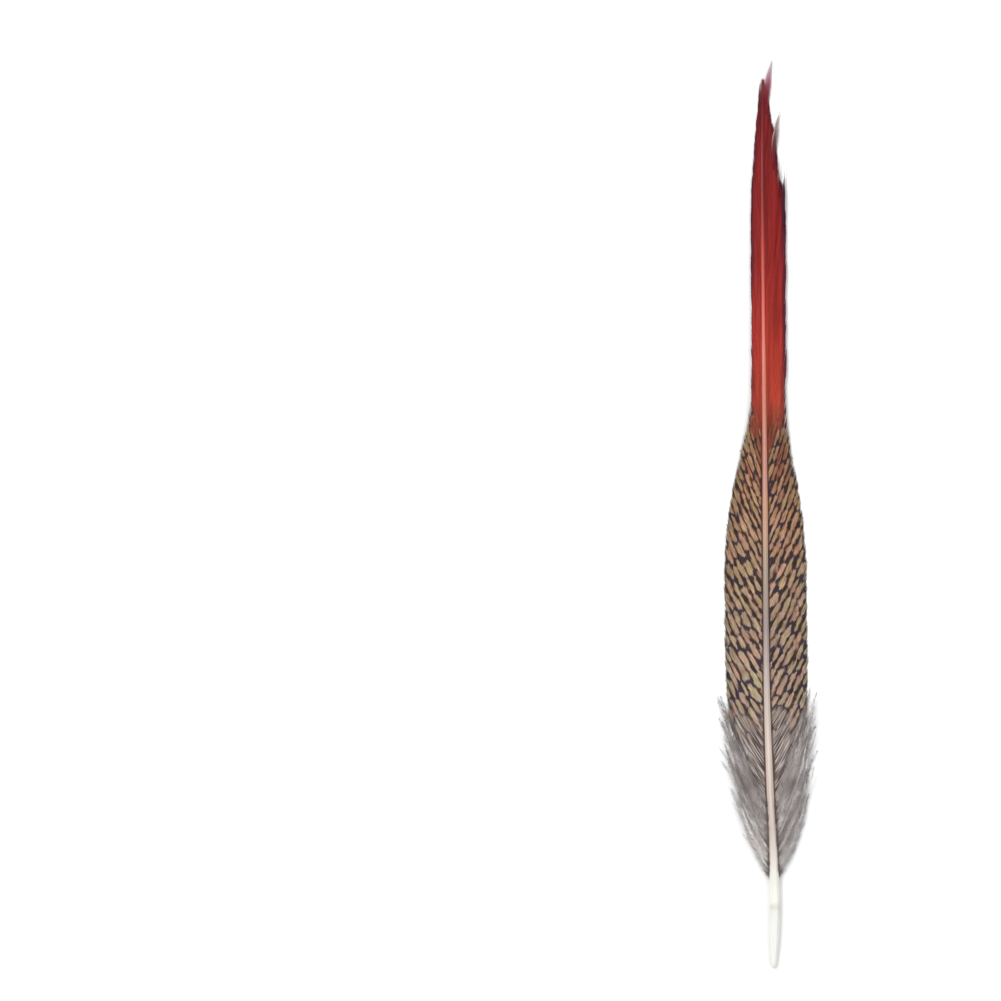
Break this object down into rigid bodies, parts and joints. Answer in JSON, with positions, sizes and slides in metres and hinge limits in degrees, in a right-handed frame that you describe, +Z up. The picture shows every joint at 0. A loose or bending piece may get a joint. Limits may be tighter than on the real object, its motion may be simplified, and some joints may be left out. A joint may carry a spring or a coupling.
{
  "type": "pheasant tail feather",
  "caption": "Long slender pheasant tail feather lying flat, with a pale shaft, red upper web, buff and dark barred lower web and grey down at its base.",
  "frame": {"origin": "on the surface the feather lies on, below the middle of its box", "axes": "+Y from the quill's end to the tip, +Z up out of the feather's outer face, +X to the right"},
  "size_m": [0.0294, 0.264, 0.0047],
  "materials": {
    "feather": "matte",
    "shaft": "satin",
    "red_web": "matte",
    "barred_web": "matte",
    "down": "matte"
  },
  "bodies": {
    "root": {"feather": "feather"}
  },
  "joints": []
}
